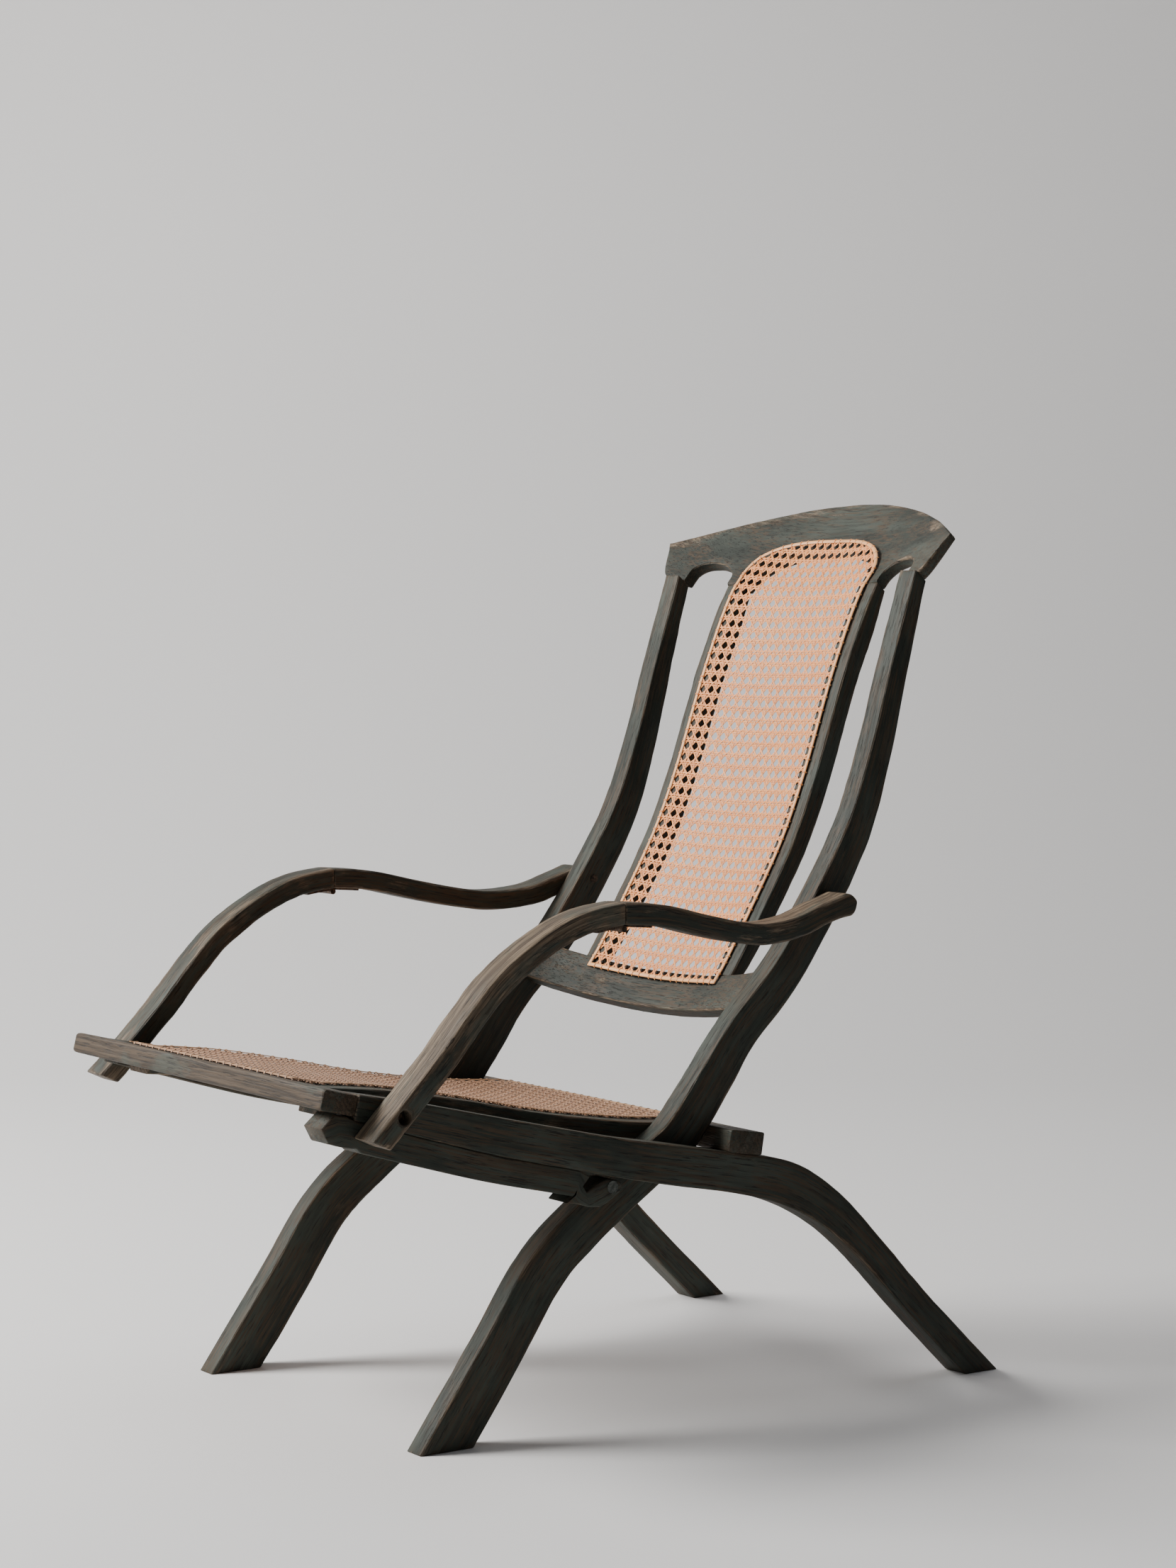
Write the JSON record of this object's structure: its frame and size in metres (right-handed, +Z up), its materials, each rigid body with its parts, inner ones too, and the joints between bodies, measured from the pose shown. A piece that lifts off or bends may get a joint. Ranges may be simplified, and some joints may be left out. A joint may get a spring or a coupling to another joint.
{
  "type": "folding cane armchair",
  "caption": "Folding lounge armchair: crossed curved side frames on hidden pivots, woven cane seat and back, and two-piece arms that break at a knuckle hinge as it folds.",
  "frame": {"origin": "on the floor under the middle of the chair's outline", "axes": "+Z up, the chair faces -Y, and +X is the side that is nearer in the picture"},
  "size_m": [0.572, 0.8441, 0.9085],
  "materials": {
    "painted_wood": "worn dark grey-green paint over oak",
    "bare_wood": "bare weathered oak",
    "cane": "natural woven cane, semi-gloss",
    "iron": "dull dark iron"
  },
  "bodies": {
    "seat_frame": {"side_rail_left": "painted_wood", "side_rail_right": "painted_wood", "seat_front_rail": "bare_wood", "seat_rear_rail": "painted_wood", "seat_side_rail_left": "painted_wood", "seat_side_rail_right": "painted_wood", "seat_cane": "cane", "seat_binder": "cane", "rail_batten": "painted_wood", "batten_peg": "painted_wood", "frame_dowels": "bare_wood", "pivot_pins": "iron", "arm_bolts": "iron"},
    "back_frame": {"post_left": "painted_wood", "post_right": "painted_wood", "crest_rail": "painted_wood", "inner_stile_left": "painted_wood", "inner_stile_right": "painted_wood", "lower_back_rail": "painted_wood", "back_cane": "cane", "back_binder": "cane", "crest_tenons": "bare_wood", "arm_pins": "iron"},
    "front_arm_left": {"arm_front_left": "painted_wood", "hinge_leaf_front_left": "iron", "hinge_pin_left": "iron"},
    "rear_arm_left": {"arm_rear_left": "painted_wood", "hinge_leaf_rear_left": "iron"},
    "front_arm_right": {"arm_front_right": "painted_wood", "hinge_leaf_front_right": "iron", "hinge_pin_right": "iron"},
    "rear_arm_right": {"arm_rear_right": "painted_wood", "hinge_leaf_rear_right": "iron"}
  },
  "joints": [
    {"name": "back_fold", "type": "hinge", "parent": "seat_frame", "child": "back_frame", "pos_m": [0, -0.02404, 0.252], "axis": [1, 0, 0], "range_deg": [0, 107]},
    {"name": "arm_bolt_left", "type": "hinge", "parent": "seat_frame", "child": "front_arm_left", "pos_m": [-0.268, -0.35503, 0.33075], "axis": [1, 0, 0], "range_deg": [0, 122]},
    {"name": "knuckle_left", "type": "hinge", "parent": "front_arm_left", "child": "rear_arm_left", "pos_m": [-0.268, -0.11103, 0.4885], "axis": [1, 0, 0], "range_deg": [-140, 0]},
    {"name": "arm_bolt_right", "type": "hinge", "parent": "seat_frame", "child": "front_arm_right", "pos_m": [0.268, -0.35503, 0.33075], "axis": [1, 0, 0], "range_deg": [0, 122]},
    {"name": "knuckle_right", "type": "hinge", "parent": "front_arm_right", "child": "rear_arm_right", "pos_m": [0.268, -0.11103, 0.4885], "axis": [1, 0, 0], "range_deg": [-140, 0]}
  ],
  "couplings": [
    {"joint": "arm_bolt_left", "follows": "back_fold", "ratio": 1.139},
    {"joint": "knuckle_left", "follows": "back_fold", "ratio": -1.307},
    {"joint": "arm_bolt_right", "follows": "back_fold", "ratio": 1.139},
    {"joint": "knuckle_right", "follows": "back_fold", "ratio": -1.307}
  ]
}
